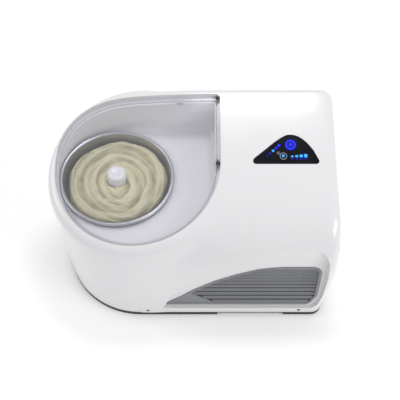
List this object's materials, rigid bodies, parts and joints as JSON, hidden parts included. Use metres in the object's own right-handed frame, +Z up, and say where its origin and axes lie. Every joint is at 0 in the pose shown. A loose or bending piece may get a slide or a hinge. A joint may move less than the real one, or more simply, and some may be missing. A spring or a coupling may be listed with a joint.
{
  "type": "ice cream maker",
  "caption": "Self-refrigerating ice cream maker: round tub with bowl and paddle under a clear hinged lid, sloping touch-panel deck and louvred front air grille.",
  "frame": {"origin": "centre of the footprint at floor level", "axes": "+X to the control-panel side, +Y to the back, +Z up; the front faces -Y"},
  "size_m": [0.4439, 0.265, 0.2512],
  "materials": {
    "white_gloss": "glossy white ABS",
    "clear_plastic": "clear polished SAN plastic with a faint lavender tint",
    "panel_glass": "black high-gloss touch panel",
    "black_plastic": "satin black",
    "silver_plastic": "satin silver-grey paint",
    "rubber": "matt",
    "bowl_steel": "turned and brushed",
    "steel": "machined",
    "silver_metal": "plain",
    "copper": "drawn copper tube",
    "brass": "sintered bronze",
    "foam": "polyurethane foam",
    "nylon": "natural nylon",
    "circuit_board": "solder mask",
    "black_paint": "black enamel"
  },
  "bodies": {
    "machine": {"main_housing": "white_gloss", "base_tray": "black_plastic", "well_tray": "white_gloss", "lid_hinge_pin_front": "steel", "lid_hinge_pin_rear": "steel", "reed_switch": "black_plastic", "removable_bowl": "bowl_steel", "fixed_bowl": "bowl_steel", "bowl_seal": "rubber", "evaporator_coil": "copper", "bowl_insulation": "foam", "shaft_bush": "brass", "shaft_seal": "rubber", "gearbox_case": "black_plastic", "gearbox_cover": "black_plastic", "idler_pin": "steel", "drive_motor": "silver_metal", "compressor": "black_paint", "compressor_mount_1": "rubber", "compressor_mount_2": "rubber", "compressor_mount_3": "rubber", "compressor_mount_4": "rubber", "condenser": "silver_metal", "fan_shroud": "black_plastic", "fan_motor": "silver_metal", "filter_drier": "copper", "discharge_line": "copper", "suction_line": "copper", "capillary_line": "copper", "touch_panel": "panel_glass", "display_board": "circuit_board", "power_board": "circuit_board", "front_grille": "silver_plastic", "rear_vent": "black_plastic", "mains_inlet": "black_plastic", "housing_screw_1": "steel", "housing_screw_2": "steel", "housing_screw_3": "steel", "housing_screw_4": "steel", "rubber_foot_1": "rubber", "rubber_foot_2": "rubber", "rubber_foot_3": "rubber", "rubber_foot_4": "rubber"},
    "lid": {"clear_lid": "clear_plastic", "lid_magnet": "silver_metal"},
    "churn": {"drive_shaft": "steel", "output_gear": "nylon", "paddle": "nylon"},
    "knob": {"paddle_knob": "white_gloss"},
    "idler": {"idler_gear": "nylon"},
    "rotor": {"motor_pinion": "steel"},
    "fan": {"fan_blades": "black_plastic"}
  },
  "joints": [
    {"name": "lid_hinge", "type": "hinge", "parent": "machine", "child": "lid", "pos_m": [0.038, 0.0115, 0.21819], "axis": [0, 0.9657, 0.2598], "range_deg": [0, 92]},
    {"name": "paddle_spin", "type": "hinge", "parent": "machine", "child": "churn", "pos_m": [-0.117, 0.0137, 0.1], "axis": [0, 0, 1], "continuous": true},
    {"name": "knob_turn", "type": "hinge", "parent": "churn", "child": "knob", "pos_m": [-0.117, 0.0137, 0.18], "axis": [0, 0, 1], "range_deg": [0, 90]},
    {"name": "idler_spin", "type": "hinge", "parent": "machine", "child": "idler", "pos_m": [-0.07013, -0.00336, 0.07], "axis": [0, 0, 1], "continuous": true},
    {"name": "rotor_spin", "type": "hinge", "parent": "machine", "child": "rotor", "pos_m": [-0.04738, 0.03605, 0.07], "axis": [0, 0, 1], "continuous": true},
    {"name": "fan_spin", "type": "hinge", "parent": "machine", "child": "fan", "pos_m": [0.105, -0.0534, 0.066], "axis": [0, 1, 0], "continuous": true}
  ],
  "couplings": [
    {"joint": "paddle_spin", "follows": "idler_spin", "ratio": -0.26667},
    {"joint": "rotor_spin", "follows": "idler_spin", "ratio": -3.3333}
  ]
}
